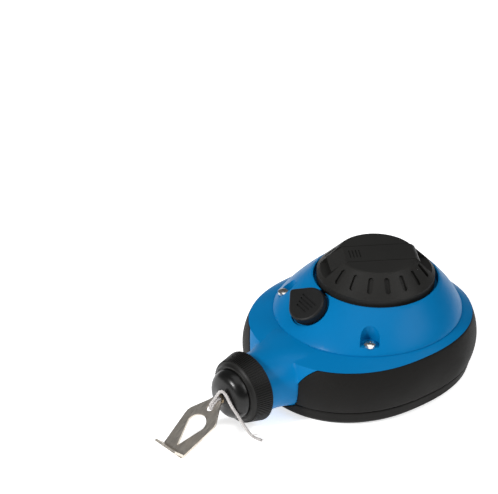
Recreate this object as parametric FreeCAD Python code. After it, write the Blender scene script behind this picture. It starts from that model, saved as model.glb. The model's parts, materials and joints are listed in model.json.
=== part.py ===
import FreeCAD, Part
import math
import os

# Chalk line reel lying on its base. Millimetres. The origin is on the resting plane, on the axis of the
# spool and the crank. +Z is up along that axis and the nose, where the line comes out, points along -Y.

V = FreeCAD.Vector
UP = V(0, 0, 1)
OUT = V(0, -1, 0)            # along the nose, outwards
ORIGIN = V(0, 0, 0)
EPS = 0.01
outline_points = 24          # points that a closed outline is drawn through

# ---- body -----------------------------------------------------------------------------------------
body_half_width = 47.0       # widest outline, across the nose
body_half_length = 54.6      # widest outline, along the nose
body_centre_y = -8.0
body_fullness = 2.25         # 2 is an ellipse, more is squarer
base_inset = 5.2             # the resting face lies this far inside the widest outline
base_edge_z = 2.2
base_edge_inset = 2.9
seam_inset = 1.6
seam_z = 7.6                 # joint of the tray and the upper shell
widest_z = 15.0
rim_z = 28.0                 # top of the rubber grip
rim_inset = 2.4
grip_thickness = 2.2         # rubber over the shell
shell_wall = 2.2
floor_thickness = 2.4
dome_half_width = 41.3
dome_half_length = 44.0
dome_centre_y = -4.0
dome_foot_z = 31.0
dome_step = 0.7              # width of the step ring at the foot of the dome
dome_crown = 1.0             # how far the dome bulges outside a straight slope
grip_end_half_low = 12.5     # half the gap between the grip's front ends, at the seam
grip_end_half_high = 22.5    # and at the top of the grip

# ---- crank recess and dial ------------------------------------------------------------------------
dial_radius = 26.7
recess_clearance = 1.6
recess_top_z = 45.6
recess_floor_z = 40.8
recess_floor_thickness = 2.0
dial_top_z = 57.2
dial_top_radius = 17.6
dial_flank_foot_z = 48.4
dial_flank_foot_radius = 25.8
dial_bottom_z = 43.9
flute_count = 18
flute_width = 2.4
flute_depth = 0.6
flute_length_share = 0.62    # of the flank's slope
flute_phase = 12.7           # first flute from the arm's hinge end, degrees
crank_rest_angle = 57.0      # direction of the arm's hinge end
arm_width = 13.2
arm_gap = 0.35               # each side of the arm in its slot
slot_floor_z = 49.3
arm_pin_reach = 15.6         # hinge pin from the dial's axis
arm_pin_z = 53.7
arm_pin_radius = 1.25
arm_thickness = 4.0
arm_flat_end = 14.8
arm_tip_reach = 21.8
arm_tip_drop = 4.6
knob_reach = 13.6            # knob from the dial's axis, folded
knob_radius = 5.6
knob_length = 6.6
knob_pocket_gap = 0.7

# ---- gears ----------------------------------------------------------------------------------------
gear_module = 1.0
sun_teeth = 18
planet_teeth = 9
ring_teeth = 36
planet_count = 3
pressure_angle = math.radians(25.0)
addendum = 0.8
ring_addendum = 0.7
dedendum = 1.0
tooth_thinning = 0.13        # taken off each tooth at the pitch circle, for backlash
planet_radius_of_orbit = gear_module * (sun_teeth + planet_teeth) / 2.0
ring_outer_radius = 22.0
plate_z = 29.4
plate_thickness = 1.8
plate_radius = 28.7
ring_height = 4.6
planet_pin_radius = 1.5
carrier_radius = 17.5
carrier_thickness = 2.2
hub_radius = 8.0
running = 0.05               # radial clearance of running fits

# ---- spool ----------------------------------------------------------------------------------------
axle_radius = 3.0
bush_radius = 5.0
spool_core_radius = 8.5
spool_flange_radius = 27.0
spool_flange_thickness = 1.4
spool_bottom_z = 5.0
spool_top_z = 28.8
spool_neck_radius = 6.2
winding_radius = 24.5
line_diameter = 1.3

# ---- nose -----------------------------------------------------------------------------------------
nose_z = 16.7                # height of the nose's axis
neck_radius = 13.6
neck_bore_radius = 9.6
collar_rear_y = -74.2
neck_mouth_y = -81.4
thread_core_radius = 11.7
thread_height = 0.75
thread_pitch = 3.0
thread_width = 1.1
thread_clearance = 0.2
collar_length = 9.9
collar_rear_radius = thread_core_radius + 4.2
collar_front_radius = thread_core_radius + 0.9
knurl_length = 8.0            # of the ribbed band, from the collar's rear
knurl_drop = 1.75             # how much narrower the band's front is
knurl_count = 60
knurl_depth = 0.35
dome_radius = thread_core_radius - 0.4
dome_length = 7.8
dome_wall = 1.8
gasket_thickness = 0.9
flange_thickness = 1.2
wiper_reach = 1.6            # how far the felt goes into the dome
eyelet_bore_radius = 1.2
eyelet_radius = 2.6

# ---- lock -----------------------------------------------------------------------------------------
lock_x = -4.0
lock_y = -36.0
lock_slope = 36.5            # tilt of the lever's axis from the vertical, degrees
lever_radius = 8.6
lever_tip_reach = 12.8
lever_height = 4.2
lever_rest_angle = 172.0     # direction of the lever's point, from +X towards uphill
lever_hub_radius = 6.0
bolt_width = 3.2
bolt_height = 2.1
bolt_length = 4.3
lock_tooth_count = 24
lock_ring_radius = 25.8
lock_tooth_depth = 2.4
lock_tooth_share = 0.36

# ---- case screws ----------------------------------------------------------------------------------
screw_places = [(28.4, -29.6), (-28.4, -29.6), (0.0, 34.8)]
screw_seat_z = 33.6
screw_seat_thickness = 2.2
screw_head_radius = 2.8
screw_head_height = 1.9
screw_shank_radius = 1.45
screw_tip_z = 12.0
counterbore_radius = 4.3
counterbore_stretch = 1.2      # how far it reaches in and out along the slope
post_radius = 4.2

# ---- hook and line --------------------------------------------------------------------------------
knot_radius = 1.6            # the line's knot fills the hook's eye, and the hook swings about it
knot_y = -96.9
knot_z = 14.3
hook_slope = 32.5            # below the horizontal
hook_thickness = 1.1
hook_length = 29.5           # from the tip to the bent foot
hook_foot_half_width = 6.6
hook_tab_length = 7.0
hook_tab_bend = 72.0
hook_eye_radius = 1.9
hook_eye_reach = 4.6         # from the tip
hook_opening_half_width = 4.9
tail_points = [
    (0.0, -96.9, 15.6),
    (0.4, -94.6, 18.9),
    (1.0, -92.2, 22.2),
    (3.6, -91.4, 20.9),
    (6.7, -91.2, 16.9),
    (9.3, -88.5, 10.7),
    (12.4, -86.5, 4.6),
    (15.2, -84.8, 1.3),
    (17.6, -82.9, 0.8),
]

os.makedirs("parts", exist_ok=True)


# ---- helpers --------------------------------------------------------------------------------------
def save(name, shape):
    shape.exportStep("parts/%s.step" % name)


def cylinder(radius, z0, z1, x=0.0, y=0.0):
    return Part.makeCylinder(radius, z1 - z0, V(x, y, z0))


def tube(outer, inner, z0, z1, x=0.0, y=0.0):
    return cylinder(outer, z0, z1, x, y).cut(cylinder(inner, z0 - 1, z1 + 1, x, y))


def box(x0, x1, y0, y1, z0, z1):
    return Part.makeBox(x1 - x0, y1 - y0, z1 - z0, V(x0, y0, z0))


def revolved(points, centre, axis, radial):
    # points are (distance along the axis, radius)
    corners = [centre + axis * along + radial * r for along, r in points]
    face = Part.Face(Part.makePolygon(corners + corners[:1]))
    return face.revolve(centre, axis, 360)


def turned(points):
    # points are (z, radius) about the spool's axis
    return revolved(points, ORIGIN, UP, V(1, 0, 0))


def nose_turned(points):
    # points are (distance outwards from the spool's axis, radius) about the nose's axis
    return revolved(points, V(0, 0, nose_z), OUT, V(1, 0, 0))


def nose_cylinder(radius, y_near, y_far):
    return Part.makeCylinder(radius, y_near - y_far, V(0, y_near, nose_z), OUT)


def around(shape, angle, centre=ORIGIN, axis=UP):
    copy = shape.copy()
    copy.rotate(centre, axis, angle)
    return copy


def one(shapes):
    return shapes[0].fuse(list(shapes[1:])).removeSplitter() if len(shapes) > 1 else shapes[0]


def group(shapes):
    return Part.makeCompound(shapes)


def rounded(shape, radius, chosen):
    edges = [edge for edge in shape.Edges if chosen(edge)]
    return shape.makeFillet(radius, edges) if edges else shape


def circle_at(edge, z, radius=None):
    curve = edge.Curve
    if not isinstance(curve, Part.Circle) or abs(curve.Center.z - z) > 0.01:
        return False
    return radius is None or abs(curve.Radius - radius) < 0.01


# ---- body outlines --------------------------------------------------------------------------------
def closed_curve(points):
    curve = Part.BSplineCurve()
    curve.interpolate(Points=points, PeriodicFlag=True)
    return Part.Wire([curve.toShape()])


def superellipse(half_first, half_second, power):
    # points of a closed outline, from an ellipse at power 2 to a rounded oblong above it
    points = []
    for i in range(outline_points):
        a = 2 * math.pi * i / outline_points
        c, s = math.cos(a), math.sin(a)
        points.append((half_first * math.copysign(abs(c) ** (2 / power), c),
                       half_second * math.copysign(abs(s) ** (2 / power), s)))
    return points


def oval(half_width, half_length, centre_y, z, power=2.0):
    points = superellipse(half_width, half_length, power)
    return closed_curve([V(x, centre_y + y, z) for x, y in points])


def wall_oval(inset, z):
    return oval(body_half_width - inset, body_half_length - inset, body_centre_y, z, body_fullness)


def wall_inset(z):
    # inset of the outer surface at a height, along the same heights as the loft
    stations = [(0.0, base_inset), (base_edge_z, base_edge_inset), (seam_z, seam_inset),
                (widest_z, 0.0), (rim_z, rim_inset)]
    for (z0, i0), (z1, i1) in zip(stations, stations[1:]):
        if z <= z1:
            return i0 + (i1 - i0) * (z - z0) / (z1 - z0)
    return rim_inset


def wall(inset, z0, z1):
    # a slice of the body's side wall, moved inwards by inset
    low = [z for z in (0.0, base_edge_z, seam_z) if z0 <= z <= z1]
    high = [z for z in (seam_z, widest_z, rim_z) if z0 <= z <= z1]
    pieces = []
    if len(low) > 1:
        pieces.append(Part.makeLoft([wall_oval(inset + wall_inset(z), z) for z in low], True, True))
    if len(high) > 1:
        pieces.append(Part.makeLoft([wall_oval(inset + wall_inset(z), z) for z in high], True, False))
    return one(pieces)


def dome_oval(share, inset, crown):
    # share runs from the dome's foot to the edge of the crank's recess
    top_radius = dial_radius + recess_clearance + 0.6
    z = dome_foot_z + (recess_top_z - dome_foot_z) * share
    half_width = dome_half_width + (top_radius - dome_half_width) * share
    half_length = dome_half_length + (top_radius - dome_half_length) * share
    grow = crown * 4 * share * (1 - share) - inset
    return oval(half_width + grow, half_length + grow, dome_centre_y * (1 - share), z)


def dome():
    ledge_top = dome_foot_z - 0.7
    ledge = Part.makeLoft([
        wall_oval(rim_inset, rim_z),
        oval(dome_half_width + dome_step, dome_half_length + dome_step, dome_centre_y, ledge_top),
    ], True, True)
    step = Part.Face(oval(dome_half_width, dome_half_length, dome_centre_y, ledge_top - 0.2))
    step = step.extrude(UP * (dome_foot_z - ledge_top + 0.2))
    slope = Part.makeLoft([dome_oval(s, 0.0, dome_crown) for s in (0.0, 0.35, 0.7, 1.0)], True, False)
    return one([ledge, step, slope])


def squircle(y, half_width, half_height, power):
    # closed section across the nose, from a rounded oblong to a circle
    points = superellipse(half_width, half_height, power)
    return closed_curve([V(x, y, nose_z + z) for x, z in points])


def neck(grow=0.0):
    # the shell narrows from the front of the body to the round neck
    flare = [(-43.0, 26.0, 14.1, 2.9), (-51.0, 21.6, 14.1, 2.8), (-57.5, 17.2, 13.9, 2.4),
             (-63.5, 14.4, 13.7, 2.1), (-69.0, neck_radius, neck_radius, 2.0),
             (collar_rear_y + 0.4, neck_radius, neck_radius, 2.0)]
    sections = [squircle(y, w + grow, h + grow, p) for y, w, h, p in flare]
    return Part.makeLoft(sections, True, False)


def front_gap(grow=0.0):
    # prism through the front of the wall that keeps the rubber grip off the neck
    low, high = grip_end_half_low + grow, grip_end_half_high + grow
    z0, z1 = -1.0, rim_z + 1
    mid = (low + high) / 2 - 1.6
    right = Part.BSplineCurve()
    right.interpolate([V(low, 0, z0), V(low + 0.4, 0, seam_z), V(mid, 0, 20.0), V(high + 1.5, 0, z1)])
    left = Part.BSplineCurve()
    left.interpolate([V(-high - 1.5, 0, z1), V(-mid, 0, 20.0), V(-low - 0.4, 0, seam_z), V(-low, 0, z0)])
    wire = Part.Wire([
        right.toShape(),
        Part.LineSegment(V(high + 1.5, 0, z1), V(-high - 1.5, 0, z1)).toShape(),
        left.toShape(),
        Part.LineSegment(V(-low, 0, z0), V(low, 0, z0)).toShape(),
    ])
    prism = Part.Face(wire).extrude(V(0, -60, 0))
    prism.translate(V(0, body_centre_y - 25.0, 0))
    return prism


# ---- lock frame: origin on the dome at the lever's axis --------------------------------------------
lock_z = 39.9
lock_axis = V(0, -math.sin(math.radians(lock_slope)), math.cos(math.radians(lock_slope)))
lock_centre = V(lock_x, lock_y, lock_z)


def in_lock_frame(shape):
    # the shape is drawn with +Z along the lever's axis and +Y uphill
    copy = shape.copy()
    copy.rotate(ORIGIN, V(1, 0, 0), lock_slope)
    copy.translate(lock_centre)
    return copy


def on_lock_bearing(shape):
    # the shape is drawn in front of the axis, on -Y, and turned to where the bolt slides
    return around(shape, math.degrees(math.asin(lock_x / lock_ring_radius)))


# ---- case -----------------------------------------------------------------------------------------
def cavity():
    side = grip_thickness + shell_wall
    floor = Part.makeLoft([wall_oval(side + wall_inset(z), z) for z in (floor_thickness, seam_z)], True, True)
    middle = Part.makeLoft([wall_oval(side + wall_inset(z), z) for z in (seam_z, widest_z, rim_z - 0.4)],
                           True, False)
    under_floor_z = recess_floor_z - recess_floor_thickness
    share = (under_floor_z - dome_foot_z) / (recess_top_z - dome_foot_z)
    lower = oval(dome_half_width - 3.0, dome_half_length - 3.0, dome_centre_y, rim_z - 0.4)
    top_width = dome_half_width + (dial_radius + 2.2 - dome_half_width) * share - 3.0
    top_length = dome_half_length + (dial_radius + 2.2 - dome_half_length) * share - 3.0
    upper = oval(top_width, top_length, dome_centre_y * (1 - share), under_floor_z)
    return one([floor, middle, Part.makeLoft([lower, upper], True, True)])


def crank_recess():
    radius = dial_radius + recess_clearance
    return cylinder(radius, recess_floor_z, recess_top_z + 10)


def counterbores():
    # round-ended pockets that lie along the dome's slope
    pockets = []
    for x, y in screw_places:
        outward = V(x, y, 0).normalize() * counterbore_stretch
        inner = cylinder(counterbore_radius, screw_seat_z, recess_top_z + 5, x - outward.x, y - outward.y)
        outer = cylinder(counterbore_radius, screw_seat_z, recess_top_z + 5, x + outward.x, y + outward.y)
        bridge = box(-counterbore_stretch, counterbore_stretch, -counterbore_radius, counterbore_radius,
                     screw_seat_z, recess_top_z + 5)
        bridge = around(bridge, math.degrees(math.atan2(y, x)))
        bridge.translate(V(x, y, 0))
        pockets += [inner, outer, bridge]
    return pockets


def lock_cuts():
    pocket = in_lock_frame(cylinder(lever_radius + 0.9, -1.3, 12))
    hole = in_lock_frame(cylinder(2.7, -6, 1))
    slot = on_lock_bearing(box(-bolt_width / 2 - 0.3, bolt_width / 2 + 0.3, lock_y + 1.0,
                               2.0 - dial_radius - recess_clearance, recess_floor_z, recess_top_z + 4))
    return [pocket, hole, slot]


def plate_post_places():
    radius = plate_radius - 3.5
    return [(radius * math.cos(math.radians(a)), radius * math.sin(math.radians(a))) for a in (60, 180, 300)]


def grip_band():
    # what the rubber fills, before it is cut back for the neck
    return wall(0.0, seam_z, rim_z).cut(wall(grip_thickness, seam_z, rim_z)).cut(front_gap())


def make_upper_shell():
    under_floor_z = recess_floor_z - recess_floor_thickness
    outside = wall(0.0, seam_z, rim_z).fuse(dome()).cut(grip_band())
    shell = outside.fuse(neck()).cut(cavity())
    posts = [cylinder(3.0, plate_z + plate_thickness, under_floor_z + 0.5, x, y)
             for x, y in plate_post_places()]
    seats = [cylinder(counterbore_radius + counterbore_stretch + 1.4, screw_seat_z - screw_seat_thickness,
                      screw_seat_z + 3.0, x, y) for x, y in screw_places]
    lock_boss = in_lock_frame(cylinder(4.6, -5.0, -1.2))
    for piece in posts + seats + [lock_boss]:
        shell = shell.fuse(piece.common(outside))
    shell = shell.cut(nose_cylinder(neck_bore_radius, -40.0, neck_mouth_y - 1))
    throat = nose_cylinder(thread_core_radius, collar_rear_y + 1.0, neck_mouth_y)
    throat = throat.cut(nose_cylinder(neck_bore_radius, -40.0, neck_mouth_y - 1))
    shell = shell.fuse(throat.fuse(male_thread()))
    shell = shell.cut(crank_recess())
    for pocket in counterbores():
        shell = shell.cut(pocket)
    for cutter in lock_cuts():
        shell = shell.cut(cutter)
    shell = shell.cut(cylinder(hub_radius + running, under_floor_z - 5, recess_floor_z + 5))
    for x, y in screw_places:
        shell = shell.cut(cylinder(screw_shank_radius + 0.15, 20, screw_seat_z + 1, x, y))
    for x, y in plate_post_places():
        shell = shell.cut(cylinder(0.9, plate_z, plate_z + plate_thickness + 5.0, x, y))
    return largest(shell)


def largest(shape):
    return max(shape.Solids, key=lambda solid: solid.Volume)


def make_lower_shell():
    side = wall(grip_thickness, 0.0, seam_z)
    tray = side.cut(cavity())
    posts = [cylinder(post_radius, 1.0, screw_seat_z - screw_seat_thickness, x, y) for x, y in screw_places]
    inside = side.fuse(cavity())
    tray = tray.fuse(cylinder(6.5, 1.0, spool_bottom_z - 0.4))
    for post in posts:
        tray = tray.fuse(post.common(inside))
    tray = tray.cut(neck(0.12))
    for x, y in screw_places:
        tray = tray.cut(cylinder(screw_shank_radius, screw_tip_z - 1.5, screw_seat_z, x, y))
    tray = tray.cut(cylinder(axle_radius, 1.2, spool_top_z))
    return largest(tray)


def make_upper_bumper():
    return largest(grip_band().cut(neck()))


def make_lower_bumper():
    ring = wall(0.0, 0.0, seam_z).cut(wall(grip_thickness, 0.0, seam_z))
    return largest(ring.cut(neck(0.12)))


def pan_screw(x, y, seat_z, tip_z, head_radius, head_height, shank_radius):
    head = cylinder(head_radius, seat_z, seat_z + head_height, x, y)
    head = rounded(head, head_height * 0.45, lambda e: circle_at(e, seat_z + head_height))
    shank = cylinder(shank_radius, tip_z, seat_z, x, y)
    recess = one([box(x - head_radius * 0.55, x + head_radius * 0.55, y - 0.35, y + 0.35,
                      seat_z + head_height * 0.4, seat_z + head_height + 1),
                  box(x - 0.35, x + 0.35, y - head_radius * 0.55, y + head_radius * 0.55,
                      seat_z + head_height * 0.4, seat_z + head_height + 1)])
    return head.fuse(shank).cut(recess)


def make_case_screws():
    return group([pan_screw(x, y, screw_seat_z, screw_tip_z, screw_head_radius, screw_head_height,
                            screw_shank_radius) for x, y in screw_places])


# ---- gears ----------------------------------------------------------------------------------------
def involute_of(angle):
    return math.tan(angle) - angle


def gear_blank(teeth, outer, root, thinning, phase=0.0):
    # wire of an external gear with one tooth centred on the phase angle
    pitch = gear_module * teeth / 2.0
    base = pitch * math.cos(pressure_angle)
    half = math.pi / (2 * teeth) - thinning / (2 * pitch)
    start = max(root, base + EPS)

    def half_at(radius):
        return half + involute_of(pressure_angle) - involute_of(math.acos(base / radius))

    def place(radius, angle):
        return V(radius * math.cos(angle), radius * math.sin(angle), 0)

    radii = [start + (outer - start) * i / 4.0 for i in range(5)]
    step = 2 * math.pi / teeth
    edges = []
    for i in range(teeth):
        mid = phase + step * i
        rising = [place(r, mid - half_at(r)) for r in radii]
        falling = [place(r, mid + half_at(r)) for r in reversed(radii)]
        edges += flank(rising, place(root, mid - half_at(start)), start > root, True)
        edges.append(Part.Arc(rising[-1], place(outer, mid), falling[0]).toShape())
        edges += flank(falling, place(root, mid + half_at(start)), start > root, False)
        low = place(root, mid + half_at(start))
        high = place(root, mid + step - half_at(start))
        edges.append(Part.Arc(low, place(root, mid + step / 2), high).toShape())
    return Part.Wire(edges)


def flank(points, foot, has_foot, rising):
    curve = Part.BSplineCurve()
    curve.interpolate(points)
    edges = [curve.toShape()]
    if has_foot and rising:
        edges.insert(0, Part.LineSegment(foot, points[0]).toShape())
    if has_foot and not rising:
        edges.append(Part.LineSegment(points[-1], foot).toShape())
    return edges


def gear_solid(wire, z0, z1, x=0.0, y=0.0):
    solid = Part.Face(wire).extrude(V(0, 0, z1 - z0))
    solid.translate(V(x, y, z0))
    return solid


gear_low_z = plate_z + plate_thickness
gear_high_z = gear_low_z + ring_height


def make_sun():
    pitch = gear_module * sun_teeth / 2.0
    wire = gear_blank(sun_teeth, pitch + addendum, pitch - dedendum, tooth_thinning)
    return gear_solid(wire, gear_low_z + 0.3, gear_high_z).cut(
        cylinder(spool_neck_radius, gear_low_z - 1, gear_high_z + 1))


def make_ring():
    pitch = gear_module * ring_teeth / 2.0
    wire = gear_blank(ring_teeth, pitch + dedendum, pitch - ring_addendum, -tooth_thinning)
    hole = gear_solid(wire, gear_low_z - 1, gear_high_z + 1)
    return cylinder(ring_outer_radius, gear_low_z, gear_high_z).cut(hole)


def planet_place(index):
    angle = 2 * math.pi * index / planet_count
    return planet_radius_of_orbit * math.cos(angle), planet_radius_of_orbit * math.sin(angle), angle


def make_planet(index):
    x, y, angle = planet_place(index)
    pitch = gear_module * planet_teeth / 2.0
    wire = gear_blank(planet_teeth, pitch + addendum, pitch - dedendum, tooth_thinning, angle)
    return gear_solid(wire, gear_low_z + 0.2, gear_high_z - 0.1, x, y).cut(
        cylinder(planet_pin_radius + running, gear_low_z - 1, gear_high_z + 1, x, y))


carrier_low_z = gear_high_z + 0.25
carrier_high_z = carrier_low_z + carrier_thickness
drive_half = 4.6
drive_low_z = recess_floor_z + 0.6


def make_planet_pins():
    return group([cylinder(planet_pin_radius, gear_low_z + 0.2, carrier_high_z, *planet_place(i)[:2])
                  for i in range(planet_count)])


def make_carrier():
    disc = cylinder(carrier_radius, carrier_low_z, carrier_high_z)
    hub = cylinder(hub_radius, carrier_low_z, drive_low_z)
    drive = box(-drive_half, drive_half, -drive_half, drive_half, drive_low_z - 0.5, slot_floor_z - 4.2)
    drive = around(drive, crank_rest_angle)
    carrier = one([disc, hub, drive])
    carrier = carrier.cut(cylinder(axle_radius + running, carrier_low_z - 1, carrier_low_z + 1.4))
    carrier = carrier.cut(cylinder(1.6, carrier_high_z, slot_floor_z))
    return carrier.cut([cylinder(planet_pin_radius, carrier_low_z - 1, carrier_high_z + 1, *planet_place(i)[:2])
                        for i in range(planet_count)])


def make_gear_plate():
    plate = tube(plate_radius, spool_neck_radius + 3.3, plate_z, plate_z + plate_thickness)
    return plate.cut([cylinder(1.4, plate_z - 1, plate_z + 3, x, y) for x, y in plate_post_places()])


def make_plate_screws():
    screws = []
    for x, y in plate_post_places():
        screw = pan_screw(x, y, 0.0, -6.0, 2.1, 1.2, 0.9)
        screw.rotate(V(x, y, 0), V(1, 0, 0), 180)
        screw.translate(V(0, 0, plate_z))
        screws.append(screw)
    return group(screws)


# ---- spool ----------------------------------------------------------------------------------------
def make_spool():
    lower = cylinder(spool_flange_radius, spool_bottom_z, spool_bottom_z + spool_flange_thickness)
    upper_low_z = spool_top_z - spool_flange_thickness
    upper = cylinder(spool_flange_radius - 1.2, upper_low_z, spool_top_z - 0.9)
    core = cylinder(spool_core_radius, spool_bottom_z, spool_top_z - 0.9)
    stem = cylinder(spool_neck_radius, spool_bottom_z, gear_high_z)
    spool = one([lower, upper, core, stem])
    return spool.cut(cylinder(bush_radius, spool_bottom_z - 1, gear_high_z + 1))


def make_winding():
    low = spool_bottom_z + spool_flange_thickness
    high = spool_top_z - spool_flange_thickness
    winding = tube(winding_radius, spool_core_radius, low, high)
    return rounded(winding, 1.5, lambda e: circle_at(e, low, winding_radius) or circle_at(e, high, winding_radius))


# ---- crank ----------------------------------------------------------------------------------------
def along_arm(shape):
    return around(shape, crank_rest_angle)


def make_dial():
    dial = turned([(dial_bottom_z, 0), (dial_bottom_z, dial_radius), (dial_flank_foot_z - 0.5, dial_radius),
                   (dial_flank_foot_z, dial_flank_foot_radius + 0.4),
                   (dial_flank_foot_z + 0.4, dial_flank_foot_radius), (dial_top_z, dial_top_radius),
                   (dial_top_z, 0)])
    dial = rounded(dial, 1.6, lambda e: circle_at(e, dial_top_z, dial_top_radius))
    run = dial_flank_foot_radius - dial_top_radius
    rise = dial_top_z - dial_flank_foot_z
    slope = math.degrees(math.atan2(rise, run))
    length = math.hypot(run, rise)
    flutes = []
    for i in range(flute_count):
        flute = oblong(flute_width, length * flute_length_share, 3.0)
        flute.rotate(ORIGIN, V(0, 1, 0), slope - 90)
        flute.translate(V((dial_top_radius + dial_flank_foot_radius) / 2 - 0.2, 0,
                          (dial_top_z + dial_flank_foot_z) / 2 - 0.4))
        flutes.append(around(flute, flute_phase + i * 360.0 / flute_count))
    dial = dial.cut(flutes)
    half = arm_width / 2 + arm_gap
    slot = box(-40, 40, -half, half, slot_floor_z, dial_top_z + 1)
    pocket = cylinder(knob_radius + knob_pocket_gap, arm_pin_z - arm_thickness - knob_length, dial_top_z, -knob_reach)
    pin = Part.makeCylinder(arm_pin_radius, 60, V(arm_pin_reach, -30, arm_pin_z), V(0, 1, 0))
    reach = arm_width / 2 + 5.2
    pin = pin.common(box(0, 40, -reach, reach, 40, 60))
    cuts = [slot, pocket, pin, cylinder(1.75, dial_bottom_z - 1, slot_floor_z + 1),
            cylinder(3.6, slot_floor_z - 2.0, slot_floor_z + 1),
            box(-drive_half - EPS, drive_half + EPS, -drive_half - EPS, drive_half + EPS,
                dial_bottom_z - 1, slot_floor_z - 4.0)]
    under = turned([(dial_bottom_z - 1, drive_half + 4.5), (dial_bottom_z - 1, dial_radius - 2.2),
                    (slot_floor_z - 2.4, dial_radius - 3.6), (slot_floor_z - 2.4, drive_half + 4.5)])
    boss = cylinder(knob_radius + knob_pocket_gap + 1.4, dial_bottom_z, slot_floor_z, -knob_reach)
    ring_ledge = turned([(dial_bottom_z, dial_radius - 6.4), (dial_bottom_z, dial_radius - 2.0),
                         (dial_bottom_z + 1.6, dial_radius - 2.0), (dial_bottom_z + 1.6, dial_radius - 6.4)])
    dial = one([dial.cut(under), boss, ring_ledge]).cut(cuts)
    return along_arm(largest(dial))


def oblong(width, length, depth):
    # upright rounded slot cutter, its face in the YZ plane, length along Z
    radius = width / 2
    straight = length - width
    solid = box(-depth / 2, depth / 2, -radius, radius, -straight / 2, straight / 2)
    for end in (-straight / 2, straight / 2):
        solid = solid.fuse(Part.makeCylinder(radius, depth, V(-depth / 2, 0, end), V(1, 0, 0)))
    solid = solid.removeSplitter()
    solid.translate(V(depth / 2 - flute_depth, 0, 0))
    return solid


def make_arm():
    top = dial_top_z
    bottom = arm_pin_z - arm_thickness + 0.6
    half = arm_width / 2
    nose_x = arm_pin_reach + (top - arm_pin_z)
    side = Part.Wire([
        Part.LineSegment(V(-arm_flat_end, 0, top), V(arm_pin_reach, 0, top)).toShape(),
        Part.Arc(V(arm_pin_reach, 0, top), V(nose_x, 0, arm_pin_z),
                 V(arm_pin_reach, 0, 2 * arm_pin_z - top)).toShape(),
        Part.LineSegment(V(arm_pin_reach, 0, 2 * arm_pin_z - top), V(-arm_tip_reach + 2.6, 0, bottom)).toShape(),
        Part.LineSegment(V(-arm_tip_reach + 2.6, 0, bottom), V(-arm_tip_reach, 0, top - arm_tip_drop)).toShape(),
        Part.LineSegment(V(-arm_tip_reach, 0, top - arm_tip_drop), V(-arm_flat_end, 0, top)).toShape(),
    ])
    arm = Part.Face(side).extrude(V(0, arm_width, 0))
    arm.translate(V(0, -half, 0))
    ribs = [box(-12.6 + 1.5 * i, -12.0 + 1.5 * i, -3.2, 3.2, top - 0.35, top + 1) for i in range(4)]
    arm = arm.cut(ribs)
    arm = arm.cut([Part.makeCylinder(arm_pin_radius + running, 40, V(arm_pin_reach, -20, arm_pin_z), V(0, 1, 0)),
                   cylinder(1.5, bottom - 1, top - 1.4, -knob_reach)])
    return along_arm(arm)


def make_knob_pin():
    bottom = arm_pin_z - arm_thickness + 0.6
    stem = cylinder(1.5, bottom - knob_length + 0.9, dial_top_z - 1.4, -knob_reach)
    head = cylinder(2.6, bottom - knob_length + 0.2, bottom - knob_length + 1.1, -knob_reach)
    return along_arm(stem.fuse(head).removeSplitter())


def make_knob():
    bottom = arm_pin_z - arm_thickness + 0.6
    low = bottom - knob_length
    knob = cylinder(knob_radius, low, bottom - 0.25, -knob_reach)
    knob = rounded(knob, 1.2, lambda e: circle_at(e, low))
    grooves = [around(cylinder(0.7, low - 1, bottom + 1, -knob_reach + knob_radius + 0.2, 0), i * 30.0,
                      V(-knob_reach, 0, 0)) for i in range(12)]
    bore = cylinder(1.5 + running, low - 1, bottom + 1, -knob_reach)
    head = cylinder(2.6 + 0.2, low - 1, low + 1.4, -knob_reach)
    return along_arm(knob.cut(grooves + [bore, head]))


def make_arm_pin():
    reach = arm_width / 2 + 5.0
    return along_arm(Part.makeCylinder(arm_pin_radius, 2 * reach, V(arm_pin_reach, -reach, arm_pin_z), V(0, 1, 0)))


def make_carrier_screw():
    seat = slot_floor_z - 1.4
    return pan_screw(0, 0, seat, carrier_high_z + 1.2, 3.1, 1.3, 1.6)


def make_washer():
    return tube(3.5, 1.65, slot_floor_z - 2.0, slot_floor_z - 1.4)


def make_lock_ring():
    low = recess_floor_z + 0.6
    high = dial_bottom_z
    inner = lock_ring_radius - lock_tooth_depth
    ring = tube(inner, inner - 3.2, low, high)
    half_root = math.pi / lock_tooth_count * lock_tooth_share
    half_tip = half_root * 0.65
    for i in range(lock_tooth_count):
        middle = -math.pi / 2 + math.pi * (2 * i + 1) / lock_tooth_count
        corners = [(inner - 0.5, -half_root), (lock_ring_radius, -half_tip),
                   (lock_ring_radius, half_tip), (inner - 0.5, half_root)]
        points = [V(r * math.cos(middle + a), r * math.sin(middle + a), low) for r, a in corners]
        ring = ring.fuse(Part.Face(Part.makePolygon(points + points[:1])).extrude(V(0, 0, high - low)))
    return on_lock_bearing(largest(ring.removeSplitter()))


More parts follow.
